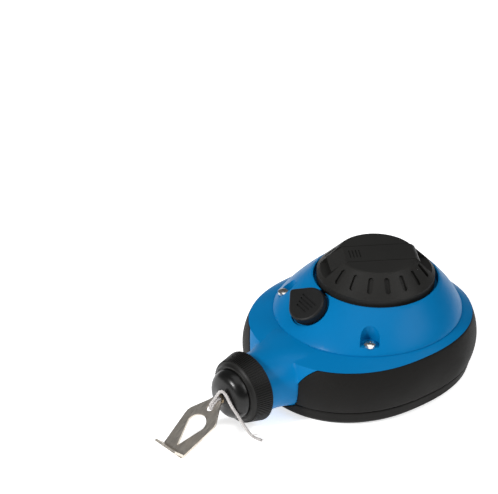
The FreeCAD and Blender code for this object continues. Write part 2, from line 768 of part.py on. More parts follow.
# ---- lock -----------------------------------------------------------------------------------------
def make_lever():
    tip = V(lever_tip_reach, 0, 0)
    touch = math.acos(lever_radius / lever_tip_reach)
    up = V(lever_radius * math.cos(touch), lever_radius * math.sin(touch), 0)
    down = V(up.x, -up.y, 0)
    wire = Part.Wire([
        Part.Arc(up, V(-lever_radius, 0, 0), down).toShape(),
        Part.LineSegment(down, tip).toShape(),
        Part.LineSegment(tip, up).toShape(),
    ])
    cap = Part.Face(wire).extrude(V(0, 0, lever_height))
    cap = rounded(cap, 1.6, lambda e: abs(e.CenterOfMass.x - lever_tip_reach) < 0.01
                  and abs(e.CenterOfMass.y) < 0.01 and abs(e.CenterOfMass.z - lever_height / 2) < 0.01)
    cap = rounded(cap, 1.1, lambda e: abs(e.BoundBox.ZMin - lever_height) < 0.01)
    ribs = [box(-5.0 + 0.6 * i, 5.0 - 0.6 * i, 1.7 * i - 2.6, 1.7 * i - 1.9, lever_height - 0.5, lever_height + 1)
            for i in range(4)]
    cap = cap.cut(ribs)
    cap.translate(V(0, 0, 0.35))
    hub = cylinder(lever_hub_radius, -1.0, 0.6)
    lever = one([cap, hub]).cut(cylinder(2.0, -2, 2.4))
    return in_lock_frame(around(lever, lever_rest_angle))


def make_lever_shaft():
    shaft = cylinder(2.0, -5.4, 2.4).fuse(cylinder(2.6, -5.0, -1.0)).removeSplitter()
    return in_lock_frame(shaft)


def make_lever_clip():
    return in_lock_frame(tube(4.2, 2.0, -5.4, -5.05))


def make_bolt():
    tip = -lock_ring_radius - 0.4
    low = recess_floor_z + 0.05
    return on_lock_bearing(box(-bolt_width / 2, bolt_width / 2, tip - bolt_length, tip, low, low + bolt_height))


# ---- nose -----------------------------------------------------------------------------------------
def helix_ridge(root_radius, crest_radius, y_start, turns):
    # right-handed ridge round the nose's axis, from y_start outwards
    half = thread_width / 2
    inner, outer = root_radius, crest_radius
    helix = Part.makeHelix(thread_pitch, thread_pitch * turns, inner)
    taper = 0.3
    profile = Part.makePolygon([V(inner, 0, -half - taper), V(outer, 0, -half), V(outer, 0, half),
                                V(inner, 0, half + taper), V(inner, 0, -half - taper)])
    ridge = Part.Wire(helix.Edges).makePipeShell([profile], True, True)
    ridge.rotate(ORIGIN, V(1, 0, 0), 90)
    ridge.translate(V(0, y_start, nose_z))
    return ridge


def male_thread():
    ridge = helix_ridge(thread_core_radius - 0.3, thread_core_radius + thread_height,
                        collar_rear_y - 1.4, 1.5)
    return ridge


collar_front_y = collar_rear_y - collar_length
lip_y = neck_mouth_y - gasket_thickness - flange_thickness
bore_radius = thread_core_radius + thread_height + thread_clearance


def make_collar():
    back, front = -collar_rear_y, -collar_front_y
    knurl_end = back + knurl_length
    mid = collar_rear_radius - knurl_drop
    body = nose_turned([(back, bore_radius), (back, collar_rear_radius - 0.5), (back + 0.5, collar_rear_radius),
                        (knurl_end, mid), (knurl_end + 0.4, mid - 0.5), (front - 0.5, collar_front_radius + 0.2),
                        (front, collar_front_radius - 0.3), (front, dome_radius + 0.3),
                        (-lip_y, dome_radius + 0.3), (-lip_y, bore_radius)])
    knurls = []
    for i in range(knurl_count):
        cutter = Part.makeCylinder(knurl_depth, knurl_end - back + 2, V(0, -back + 1, nose_z), OUT)
        cutter.rotate(V(0, -back, nose_z), V(1, 0, 0), -math.degrees(math.atan2(knurl_drop, knurl_length)))
        cutter.translate(V(0, 0, collar_rear_radius + 0.15))
        knurls.append(around(cutter, i * 360.0 / knurl_count, V(0, 0, nose_z), OUT))
    return body.cut(knurls)


def make_nose_dome():
    back = neck_mouth_y - gasket_thickness
    apex = -(lip_y - dome_length)
    outer = Part.BSplineCurve()
    points = [V(dome_radius, lip_y, nose_z), V(dome_radius - 0.1, lip_y - 0.28 * dome_length, nose_z),
              V(dome_radius - 1.9, lip_y - 0.65 * dome_length, nose_z), V(eyelet_radius + 3.1, lip_y - dome_length + 1.3, nose_z),
              V(eyelet_radius, -apex, nose_z)]
    outer.interpolate(points)
    edges = [outer.toShape()]
    corners = [points[-1], V(eyelet_bore_radius + 0.5, -apex, nose_z),
               V(eyelet_bore_radius + 0.5, -apex + 2.2, nose_z),
               V(dome_radius - 3.8, -apex + 4.0, nose_z), V(dome_radius - dome_wall, lip_y - 1.5, nose_z),
               V(dome_radius - dome_wall, back, nose_z), V(dome_radius + 1.0, back, nose_z),
               V(dome_radius + 1.0, lip_y, nose_z), points[0]]
    edges += [Part.LineSegment(a, b).toShape() for a, b in zip(corners, corners[1:])]
    return Part.Face(Part.Wire(edges)).revolve(V(0, 0, nose_z), OUT, 360)


apex_y = lip_y - dome_length


def make_eyelet():
    r = eyelet_bore_radius
    return nose_turned([(-apex_y - 2.2, r), (-apex_y - 2.2, r + 0.5), (-apex_y, r + 0.5),
                        (-apex_y, eyelet_radius - 0.4), (-apex_y + 0.5, eyelet_radius - 0.7), (-apex_y + 0.7, r + 0.2),
                        (-apex_y + 0.5, r)])


def make_wiper():
    back, front = -neck_mouth_y + gasket_thickness + 1.6, -lip_y + wiper_reach
    return nose_turned([(back, 0.9), (back, dome_radius - dome_wall - 0.6),
                        (front, dome_radius - dome_wall - 0.6), (front, 0.9)])


def make_retainer():
    back = -neck_mouth_y + gasket_thickness
    return nose_turned([(back, 3.0), (back, dome_radius - dome_wall), (back + 1.6, dome_radius - dome_wall),
                        (back + 1.6, 3.0)])


def make_gasket():
    back = -neck_mouth_y
    return nose_turned([(back, neck_bore_radius + 0.2), (back, thread_core_radius - 0.1),
                        (back + gasket_thickness, thread_core_radius - 0.1),
                        (back + gasket_thickness, neck_bore_radius + 0.2)])


def make_line_run():
    start = V(0, -winding_radius - 1.0, nose_z)
    return Part.makeCylinder(line_diameter / 2, -apex_y + 0.2 - winding_radius - 1.0, start, OUT)


# ---- hook -----------------------------------------------------------------------------------------
knot_centre = V(0, knot_y, knot_z)


def make_hook():
    # flat plate drawn with +X across and +Y from the tip to the foot, then bent and tilted about its eye
    outline = [(2.7, 0.0), (3.6, 2.0), (8.4, 9.4), (8.9, 11.0), (8.8, 13.0),
               (hook_foot_half_width, hook_length)]
    right = [V(x, y, 0) for x, y in outline]
    left = [V(-p.x, p.y, 0) for p in reversed(right)]
    plate = Part.Face(Part.makePolygon(right + left + [right[0]])).extrude(V(0, 0, hook_thickness))
    plate = rounded(plate, 1.0, lambda e: e.BoundBox.ZLength > hook_thickness * 0.9
                    and 8.0 < e.CenterOfMass.y < 14.0)
    eye = cylinder(hook_eye_radius, -1, 3, 0, hook_eye_reach)
    half = hook_opening_half_width
    corners = [V(-half, 14.4, -1), V(0, 27.0, -1), V(half, 14.4, -1)]
    bow = Part.Arc(corners[2], V(0, 9.3, -1), corners[0]).toShape()
    sides = [Part.LineSegment(a, b).toShape() for a, b in zip(corners, corners[1:])]
    opening = Part.Face(Part.Wire([bow] + sides)).extrude(V(0, 0, 5))
    tab = box(-hook_foot_half_width, hook_foot_half_width, 0, hook_tab_length, 0, hook_thickness)
    tab.rotate(ORIGIN, V(1, 0, 0), hook_tab_bend)
    tab.translate(V(0, hook_length, 0))
    bend = Part.makeCylinder(hook_thickness, 2 * hook_foot_half_width,
                             V(-hook_foot_half_width, hook_length, hook_thickness), V(1, 0, 0))
    bend = bend.common(box(-10, 10, hook_length - EPS, hook_length + 2, 0, hook_thickness))
    plate = one([plate.cut([eye, opening]), tab, bend])
    plate.translate(V(0, -hook_eye_reach, -hook_thickness / 2))
    plate.rotate(ORIGIN, UP, 180)
    plate.rotate(ORIGIN, V(1, 0, 0), hook_slope)
    plate.translate(knot_centre)
    return plate


def make_knot():
    return Part.makeSphere(knot_radius, knot_centre)


def filleted_route(points):
    # straight runs joined by tangent arcs, each as large as its two runs allow
    corners = [V(*p) for p in points]
    edges = []
    here = corners[0]
    for before, corner, after in zip(corners, corners[1:], corners[2:]):
        a, b = before - corner, after - corner
        short = min(a.Length, b.Length) * 0.45
        u, w = V(a).normalize(), V(b).normalize()
        half_turn = (math.pi - u.getAngle(w)) / 2
        radius = short / math.tan(half_turn)
        print("route arc radius %.1f mm" % radius)
        first, last = corner + u * short, corner + w * short
        edges.append(Part.LineSegment(here, first).toShape())
        edges.append(Part.Arc(first, corner + middle_of(u, w, short, radius), last).toShape())
        here = last
    edges.append(Part.LineSegment(here, corners[-1]).toShape())
    return Part.Wire(edges)


def middle_of(u, w, short, radius):
    # from the corner to the middle of its arc
    bisector = V(u + w).normalize()
    centre_distance = math.hypot(short, radius)
    return bisector * (centre_distance - radius)


def make_tail():
    path = filleted_route(tail_points)
    start = V(*tail_points[0])
    direction = (V(*tail_points[1]) - start).normalize()
    profile = Part.Wire([Part.Circle(start, direction, line_diameter / 2).toShape()])
    tail = path.makePipeShell([profile], True, False)
    print("tail length %.1f, volume share %.3f" % (
        path.Length, tail.Volume / (path.Length * math.pi * line_diameter ** 2 / 4)))
    return tail


def main():
    save("lower_shell", make_lower_shell())
    save("upper_shell", make_upper_shell())
    save("upper_bumper", make_upper_bumper())
    save("lower_bumper", make_lower_bumper())
    save("case_screws", make_case_screws())
    save("centre_axle", cylinder(axle_radius, 1.2, carrier_low_z + 1.2))
    save("spool_bush", tube(bush_radius, axle_radius + running, spool_bottom_z - 0.3, gear_high_z))
    save("spool", make_spool())
    save("line_winding", make_winding())
    save("sun_gear", make_sun())
    for i in range(planet_count):
        save("planet_gear_%d" % (i + 1), make_planet(i))
    save("ring_gear", make_ring())
    save("gear_plate", make_gear_plate())
    save("plate_screws", make_plate_screws())
    save("spool_seal", tube(spool_neck_radius + 3.3, spool_neck_radius + 0.1, plate_z, plate_z + plate_thickness))
    save("planet_carrier", make_carrier())
    save("planet_pins", make_planet_pins())
    save("carrier_screw", make_carrier_screw())
    save("carrier_washer", make_washer())
    save("crank_dial", make_dial())
    save("lock_ring", make_lock_ring())
    save("crank_arm", make_arm())
    save("arm_hinge_pin", make_arm_pin())
    save("crank_knob", make_knob())
    save("knob_pin", make_knob_pin())
    save("lock_lever", make_lever())
    save("lever_shaft", make_lever_shaft())
    save("lever_clip", make_lever_clip())
    save("lock_bolt", make_bolt())
    save("nose_collar", make_collar())
    save("nose_dome", make_nose_dome())
    save("line_eyelet", make_eyelet())
    save("felt_wiper", make_wiper())
    save("wiper_retainer", make_retainer())
    save("neck_gasket", make_gasket())
    save("line_run", make_line_run())
    save("end_hook", make_hook())
    save("line_knot", make_knot())
    save("line_tail", make_tail())


main()
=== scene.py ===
import json
import math
import random

import bpy
from mathutils import Matrix, Vector

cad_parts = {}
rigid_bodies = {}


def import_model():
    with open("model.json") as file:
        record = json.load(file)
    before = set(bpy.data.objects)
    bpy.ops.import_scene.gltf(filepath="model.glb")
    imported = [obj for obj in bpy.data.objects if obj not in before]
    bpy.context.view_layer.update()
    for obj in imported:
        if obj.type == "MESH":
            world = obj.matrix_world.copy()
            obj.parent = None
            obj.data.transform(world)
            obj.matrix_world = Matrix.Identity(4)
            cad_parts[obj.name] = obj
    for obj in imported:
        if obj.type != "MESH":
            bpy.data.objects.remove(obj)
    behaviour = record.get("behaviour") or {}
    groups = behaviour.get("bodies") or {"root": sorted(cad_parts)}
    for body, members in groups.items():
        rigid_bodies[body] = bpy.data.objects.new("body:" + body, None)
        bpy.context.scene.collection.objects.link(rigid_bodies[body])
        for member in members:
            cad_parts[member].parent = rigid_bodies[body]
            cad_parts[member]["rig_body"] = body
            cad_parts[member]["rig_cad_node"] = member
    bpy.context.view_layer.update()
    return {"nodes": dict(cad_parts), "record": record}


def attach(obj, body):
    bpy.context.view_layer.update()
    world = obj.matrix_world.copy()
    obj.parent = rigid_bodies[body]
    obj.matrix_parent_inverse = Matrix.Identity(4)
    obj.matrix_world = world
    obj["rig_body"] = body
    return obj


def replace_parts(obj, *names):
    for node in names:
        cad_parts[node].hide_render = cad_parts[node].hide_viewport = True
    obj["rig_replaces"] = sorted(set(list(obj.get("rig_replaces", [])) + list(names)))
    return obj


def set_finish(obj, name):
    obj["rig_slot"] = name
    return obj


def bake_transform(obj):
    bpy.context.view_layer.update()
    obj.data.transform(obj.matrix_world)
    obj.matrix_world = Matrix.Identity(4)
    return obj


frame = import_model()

scene = bpy.context.scene
scene.view_settings.view_transform = "Standard"
mm = 0.001

# ---- small tools for modelling by hand ----


def deselectAll():
    if bpy.context.object and bpy.context.object.mode != "OBJECT":
        bpy.ops.object.mode_set(mode="OBJECT")
    bpy.ops.object.select_all(action="DESELECT")


def pickOnly(piece):
    deselectAll()
    piece.select_set(True)
    bpy.context.view_layer.objects.active = piece


def placeInMesh(piece):
    # the finished object stands at the origin and its place is in its mesh
    pickOnly(piece)
    bpy.ops.object.transform_apply(location=True, rotation=True, scale=True)


def cleanMesh(piece, gap=0.00001):
    pickOnly(piece)
    bpy.ops.object.mode_set(mode="EDIT")
    bpy.ops.mesh.select_all(action="SELECT")
    bpy.ops.mesh.remove_doubles(threshold=gap)
    bpy.ops.mesh.normals_make_consistent(inside=False)
    bpy.ops.object.mode_set(mode="OBJECT")


def smoothByAngle(piece, degrees):
    pickOnly(piece)
    bpy.ops.object.shade_smooth_by_angle(angle=math.radians(degrees))


def mergedCopy(node, name, degrees=30, gap=0.000004):
    # a CAD node's shape with its loose triangles joined, so that it takes smooth shading
    source = frame["nodes"][node]
    piece = source.copy()
    piece.data = source.data.copy()
    piece.parent = None
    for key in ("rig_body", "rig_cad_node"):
        if key in piece:
            del piece[key]
    piece.name = name
    scene.collection.objects.link(piece)
    pickOnly(piece)
    bpy.ops.object.mode_set(mode="EDIT")
    bpy.ops.mesh.select_all(action="SELECT")
    bpy.ops.mesh.customdata_custom_splitnormals_clear()
    bpy.ops.mesh.remove_doubles(threshold=gap)
    bpy.ops.object.mode_set(mode="OBJECT")
    smoothByAngle(piece, degrees)
    weighted = piece.modifiers.new("weightedNormals", "WEIGHTED_NORMAL")
    weighted.keep_sharp = True
    return piece


def applyAll(piece):
    pickOnly(piece)
    for modifier in list(piece.modifiers):
        bpy.ops.object.modifier_apply(modifier=modifier.name)


def spunProfile(name, points, start, axis, side, steps):
    # points are (distance along the axis, radius); the last returns to the first on a closed wall
    axis, side, start = Vector(axis), Vector(side), Vector(start)
    deselectAll()
    first = start + axis * points[0][0] + side * points[0][1]
    bpy.ops.mesh.primitive_plane_add(size=0.001, location=first)
    piece = bpy.context.object
    piece.name = name
    bpy.ops.object.mode_set(mode="EDIT")
    bpy.ops.mesh.select_mode(type="VERT")
    bpy.ops.mesh.select_all(action="SELECT")
    bpy.ops.mesh.merge(type="CENTER")
    for before, after in zip(points, points[1:]):
        step = axis * (after[0] - before[0]) + side * (after[1] - before[1])
        bpy.ops.mesh.extrude_region_move(TRANSFORM_OT_translate={"value": step})
    bpy.ops.object.mode_set(mode="OBJECT")
    placeInMesh(piece)
    bpy.ops.object.mode_set(mode="EDIT")
    bpy.ops.mesh.select_all(action="SELECT")
    bpy.ops.mesh.spin(steps=steps, angle=math.radians(360), center=start, axis=axis)
    bpy.ops.object.mode_set(mode="OBJECT")
    cleanMesh(piece)
    return piece


# ---- camera and light ----
cameraSetup = {
    "place": (0.7709, -0.7643, 0.6925),
    "right": (0.6555, 0.7548, 0.0224),
    "up": (-0.3940, 0.3165, 0.8629),
    "back": (0.6443, -0.5745, 0.5049),
    "lens": 202.4,
    "sensor": 36.0,
}

cameraData = bpy.data.cameras.new("viewCamera")
camera = bpy.data.objects.new("viewCamera", cameraData)
scene.collection.objects.link(camera)
turn = Matrix([cameraSetup["right"], cameraSetup["up"], cameraSetup["back"]]).transposed()
camera.matrix_world = Matrix.Translation(cameraSetup["place"]) @ turn.to_4x4()
cameraData.lens = cameraSetup["lens"]
cameraData.sensor_width = cameraSetup["sensor"]
cameraData.clip_start = 0.05
cameraData.clip_end = 20.0
scene.camera = camera

studio = {
    "aim": (0.0, -0.02, 0.03),
    "boxes": [
        # name, azimuth, elevation, distance, width, height, watts
        ("softboxLeft", -4, 31, 0.80, 0.10, 0.12, 4.6),
        ("softboxRight", 116, 41, 0.80, 0.44, 0.44, 2.0),
        ("softboxTop", 60, 84, 0.95, 0.80, 0.80, 2.6),
    ],
    "worldColour": (0.93, 0.96, 1.0, 1.0),
    "worldStrength": 0.14,
    "floorColour": (0.90, 0.90, 0.90, 1.0),
    "floorGlow": 0.80,
    "floorSize": 6.0,
}

for name, azimuth, elevation, distance, width, height, watts in studio["boxes"]:
    lampData = bpy.data.lights.new(name, "AREA")
    lampData.shape = "RECTANGLE"
    lampData.size = width
    lampData.size_y = height
    lampData.energy = watts
    lamp = bpy.data.objects.new(name, lampData)
    scene.collection.objects.link(lamp)
    a, e = math.radians(azimuth), math.radians(elevation)
    away = Vector((math.sin(a) * math.cos(e), -math.cos(a) * math.cos(e), math.sin(e)))
    turn = away.to_track_quat("Z", "Y").to_matrix().to_4x4()
    lamp.matrix_world = Matrix.Translation(Vector(studio["aim"]) + away * distance) @ turn

world = bpy.data.worlds.new("studioWorld")
scene.world = world
world.use_nodes = True
world.node_tree.nodes["Background"].inputs["Color"].default_value = studio["worldColour"]
world.node_tree.nodes["Background"].inputs["Strength"].default_value = studio["worldStrength"]

deselectAll()
bpy.ops.mesh.primitive_plane_add(size=studio["floorSize"], location=(0, 0, -0.0001))
floor = bpy.context.object
floor.name = "studioFloor"
placeInMesh(floor)
floor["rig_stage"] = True
print("camera, lights and floor are set")


# ---- the line: knot, loop round the hook, tail and its frayed end ----
tailRoute = [
    (0.0, -96.9, 15.6), (0.4, -94.6, 18.9), (1.0, -92.2, 22.2), (3.6, -91.4, 20.9), (6.7, -91.2, 16.9),
    (9.3, -88.5, 10.7), (12.4, -86.5, 4.6), (15.2, -84.8, 1.3), (17.6, -82.9, 0.8),
]
lineYarn = {
    "diameter": 1.3 * mm,
    "strands": 3,
    "strandRadius": 0.44 * mm,
    "strandOffset": 0.30 * mm,
    "pitch": 3.4 * mm,
    "sides": 8,
    "stepsPerPitch": 10,
    "tailLength": 0.0375,
    "fuzzHairs": 120,
    "fuzzLength": 0.75 * mm,
    "fuzzRadius": 0.022 * mm,
    "fuzzSpacing": 0.2 * mm,
    "fuzzSides": 3,
    "fraySpread": 1.5 * mm,
    "frayLength": 2.4 * mm,
    "frayRadius": 0.17 * mm,
    "fraySingles": 30,
    "frayBends": 5,
    "fraySides": 5,
    "frayLowest": 0.16 * mm,
    "lowest": 0.1 * mm,
    "looseRoute": [(14.2, -85.6, 2.9), (15.2, -85.4, 3.1), (16.4, -84.0, 3.6), (17.7, -83.4, 3.1)],
}


def splinePoints(name, controls, resolution=24):
    # points read from one smooth NURBS spline with no bevel
    curve = bpy.data.curves.new(name, "CURVE")
    curve.dimensions = "3D"
    spline = curve.splines.new("NURBS")
    spline.points.add(len(controls) - 1)
    for point, place in zip(spline.points, controls):
        point.co = (place[0] * mm, place[1] * mm, place[2] * mm, 1.0)
    spline.order_u = 3
    spline.use_endpoint_u = True
    spline.resolution_u = resolution
    holder = bpy.data.objects.new(name, curve)
    mesh = bpy.data.meshes.new_from_object(holder)
    places = [v.co.copy() for v in mesh.vertices]
    bpy.data.objects.remove(holder)
    bpy.data.curves.remove(curve)
    bpy.data.meshes.remove(mesh)
    return places


def evenlySpaced(places, spacing):
    lengths = [0.0]
    for a, b in zip(places, places[1:]):
        lengths.append(lengths[-1] + (b - a).length)
    count = max(2, round(lengths[-1] / spacing))
    even, k = [], 0
    for i in range(count + 1):
        goal = lengths[-1] * i / count
        while k < len(places) - 2 and lengths[k + 1] < goal:
            k += 1
        span = lengths[k + 1] - lengths[k]
        even.append(places[k].lerp(places[k + 1], (goal - lengths[k]) / span if span else 0.0))
    return even


def travellingFrames(places):
    # tangent and two sides at each point, turned as little as possible along the way
    frames = []
    side = None
    for i, place in enumerate(places):
        ahead = places[min(i + 1, len(places) - 1)] - places[max(i - 1, 0)]
        ahead.normalize()
        if side is None:
            side = ahead.orthogonal().normalized()
        side = (side - ahead * side.dot(ahead)).normalized()
        frames.append((ahead, side, ahead.cross(side)))
    return frames


def addTube(verts, faces, places, radii, sides):
    first = len(verts)
    frames = travellingFrames(places)
    for place, (ahead, side, other), radius in zip(places, frames, radii):
        for k in range(sides):
            a = 2 * math.pi * k / sides
            verts.append(place + side * (radius * math.cos(a)) + other * (radius * math.sin(a)))
    for i in range(len(places) - 1):
        for k in range(sides):
            a, b = first + i * sides + k, first + i * sides + (k + 1) % sides
            faces.append((a, b, b + sides, a + sides))
    faces.append(tuple(first + k for k in reversed(range(sides))))
    last = first + (len(places) - 1) * sides
    faces.append(tuple(last + k for k in range(sides)))


def meshPiece(name, verts, faces):
    mesh = bpy.data.meshes.new(name)
    mesh.from_pydata([tuple(v) for v in verts], [], faces)
    mesh.update()
    piece = bpy.data.objects.new(name, mesh)
    scene.collection.objects.link(piece)
    return piece


def twistedLine(name, places, phase=0.0):
    # three strands laid round the route
    yarn = lineYarn
    verts, faces = [], []
    even = evenlySpaced(places, yarn["pitch"] / yarn["stepsPerPitch"])
    frames = travellingFrames(even)
    spacing = (even[1] - even[0]).length
    for s in range(yarn["strands"]):
        route, radii = [], []
        for i, (place, (_, side, other)) in enumerate(zip(even, frames)):
            a = phase + 2 * math.pi * (s / yarn["strands"] + i * spacing / yarn["pitch"])
            out = side * math.cos(a) + other * math.sin(a)
            route.append(place + out * yarn["strandOffset"])
            radii.append(yarn["strandRadius"])
        addTube(verts, faces, route, radii, yarn["sides"])
    piece = meshPiece(name, verts, faces)
    smoothByAngle(piece, 60)
    return piece


tailPlaces = splinePoints("tailSpline", tailRoute)
lineTail = twistedLine("lineTail", tailPlaces)
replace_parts(lineTail, "line_tail")
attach(lineTail, "nose")
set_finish(lineTail, "line_string")


def fuzzAlong(name, places, hairs, seed):
    # short loose fibres that stand off the yarn
    yarn = lineYarn
    rng = random.Random(seed)
    verts, faces = [], []
    even = evenlySpaced(places, yarn["fuzzSpacing"])
    frames = travellingFrames(even)
    for _ in range(hairs):
        i = rng.randrange(3, len(even) - 3)
        ahead, side, other = frames[i]
        a = rng.uniform(0, 2 * math.pi)
        out = side * math.cos(a) + other * math.sin(a)
        lean = ahead * rng.uniform(-0.9, 1.6)
        length = yarn["fuzzLength"] * rng.uniform(0.4, 1.0)
        foot = even[i] + out * (yarn["diameter"] * 0.40)
        tip = foot + (out * 0.5 + lean).normalized() * length
        middle = foot.lerp(tip, 0.5) + out * rng.uniform(0.02, 0.14) * mm
        if min(foot.z, middle.z, tip.z) < yarn["lowest"]:
            continue
        addTube(verts, faces, [foot, middle, tip],
                [yarn["fuzzRadius"], yarn["fuzzRadius"] * 0.8, yarn["fuzzRadius"] * 0.3], yarn["fuzzSides"])
    return meshPiece(name, verts, faces)


tailFuzz = fuzzAlong("lineFuzz", tailPlaces, lineYarn["fuzzHairs"], 4)
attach(tailFuzz, "nose")
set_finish(tailFuzz, "line_string")


def frayedEnd():
    # the strands open out and their fibres spread over the surface below
    yarn = lineYarn
    rng = random.Random(11)
    verts, faces = [], []
    bends = yarn["frayBends"]
    end = tailPlaces[-1]
    before = tailPlaces[-6]
    ahead = (end - before).normalized()
    across = ahead.cross(Vector((0, 0, 1))).normalized()
    for k in range(yarn["fraySingles"]):
        swing = (k / (yarn["fraySingles"] - 1) - 0.5) * 2
        swing = swing * 0.55 + rng.uniform(-0.22, 0.22)
        length = yarn["frayLength"] * rng.uniform(0.55, 1.0)
        foot = end - ahead * rng.uniform(0.5, 2.4) * mm + across * swing * 0.45 * mm
        route = []
        for i in range(bends + 1):
            share = i / bends
            drift = across * (swing * yarn["fraySpread"] * 1.5 * share ** 1.5)
            wave = across * (rng.uniform(-0.12, 0.12) * mm * share)
            place = foot + ahead * (length * share) + drift + wave
            place.z = max(yarn["frayLowest"], foot.z * (1 - share * 0.7) + rng.uniform(0.0, 0.5) * mm * share)
            route.append(place)
        radii = [yarn["frayRadius"] * (1 - 0.7 * i / bends) for i in range(bends + 1)]
        addTube(verts, faces, route, radii, yarn["fraySides"])
    # one strand that has come loose further up
    loose = splinePoints("looseStrand", yarn["looseRoute"])
    loose = evenlySpaced(loose, 0.4 * mm)
    radii = [yarn["strandRadius"] * (0.75 - 0.6 * i / (len(loose) - 1)) for i in range(len(loose))]
    addTube(verts, faces, loose, radii, 6)
    return meshPiece("lineFray", verts, faces)


lineFray = frayedEnd()
smoothByAngle(lineFray, 60)
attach(lineFray, "nose")
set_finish(lineFray, "line_string")

knotShape = {
    "centre": (0.1, -96.1, 14.7),
    "turns": 2.0,
    "radius": 0.55,
    "rise": 0.5,
    "steps": 30,
}


def knotTurns():
    # the line wound on itself into a small knot in the hook's eye
    k = knotShape
    centre = Vector(k["centre"])
    route = []
    for i in range(k["steps"] + 1):
        share = i / k["steps"]
        a = 2 * math.pi * k["turns"] * share
        swell = k["radius"] * (0.75 + 0.25 * math.sin(math.pi * share))
        route.append(centre + Vector((swell * math.cos(a), swell * math.sin(a), k["rise"] * (2 * share - 1))))
    return [p * mm for p in route]


knotPiece = twistedLine("lineKnot", knotTurns())
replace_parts(knotPiece, "line_knot")
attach(knotPiece, "nose")
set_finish(knotPiece, "line_string")

loopRoutes = {
    # through the eye, over the hook's tip and back underneath, twice side by side
    "loopNear": [(0.5, -96.2, 13.0), (0.6, -96.6, 14.6), (0.7, -96.0, 16.0), (0.8, -93.6, 17.9),
                 (0.8, -92.35, 18.0), (0.7, -92.25, 16.4), (0.6, -94.2, 14.7), (0.5, -96.0, 13.2)],
    "loopFar": [(-0.7, -96.2, 13.0), (-0.7, -96.7, 14.7), (-0.7, -96.0, 16.1), (-0.6, -93.7, 17.8),
                (-0.5, -92.35, 18.0), (-0.6, -92.3, 16.3), (-0.7, -94.3, 14.6), (-0.8, -96.0, 13.1)],
}
for name, controls in loopRoutes.items():
    loop = twistedLine(name, splinePoints(name, controls), phase=0.7)
    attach(loop, "hook")
    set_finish(loop, "line_string")

# from the eyelet down to the knot
leadRoute = [(0.0, -90.2, 16.7), (0.0, -91.4, 16.7), (0.0, -92.1, 15.9), (0.0, -93.2, 14.9),
             (0.0, -94.6, 14.3)]
lineLead = twistedLine("lineLead", splinePoints("lead", leadRoute))
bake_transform(lineLead)
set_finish(lineLead, "line_string")

print("the line is laid")


# ---- blue shell and rubber grips ----
shellLook = {"upper_shell": ("shellTop", "case", 50), "lower_shell": ("shellTray", "case", 30)}
for node, (name, body, degrees) in shellLook.items():
    piece = mergedCopy(node, name, degrees)
    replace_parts(piece, node)
    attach(piece, body)
print("shell is smoothed")

gripLook = {
    "pieces": {"upper_bumper": "gripUpper", "lower_bumper": "gripLower"},
    "cell": 0.55 * mm,
    "softSteps": 5,
}


def softGrip(node, name):
    # rubber moulding: evenly remeshed from the CAD shape, with its edges worn round
    grip = mergedCopy(node, name, 34)
    grip.modifiers.clear()
    remesh = grip.modifiers.new("evenCells", "REMESH")
    remesh.mode = "VOXEL"
    remesh.voxel_size = gripLook["cell"]
    remesh.adaptivity = 0.0
    soften = grip.modifiers.new("soften", "SMOOTH")
    soften.factor = 0.5
    soften.iterations = gripLook["softSteps"]
    applyAll(grip)
    pickOnly(grip)
    bpy.ops.object.shade_smooth()
    return grip


for node, name in gripLook["pieces"].items():
    grip = softGrip(node, name)
    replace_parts(grip, node)
    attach(grip, "case")
print("grips are rounded")

# ---- dial, arm, knob, lever ----
controlLook = {"crank_dial": ("dial", "crank", 32), "crank_arm": ("foldingArm", "arm", 32),
               "crank_knob": ("armKnob", "knob", 40), "lock_lever": ("lockLever", "lever", 38),
               "lock_ring": ("dialTeeth", "crank", 30)}
for node, (name, body, degrees) in controlLook.items():
    piece = mergedCopy(node, name, degrees)
    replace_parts(piece, node)
    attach(piece, body)
print("dial, arm and lever are smoothed")

# ---- nose: ribbed collar, dome, eyelet ----
collarShape = {
    "centre": (0.0, 0.0, 16.7),
    "rearY": 74.2,
    "length": 9.9,
    "rearRadius": 15.9,
    "ribbedLength": 8.0,
    "midRadius": 14.15,
    "frontRadius": 12.6,
    "bore": 12.65,
    "lipBore": 11.6,
    "lipLength": 0.6,
    "ribHeight": 0.42,
    "steps": 180,
}


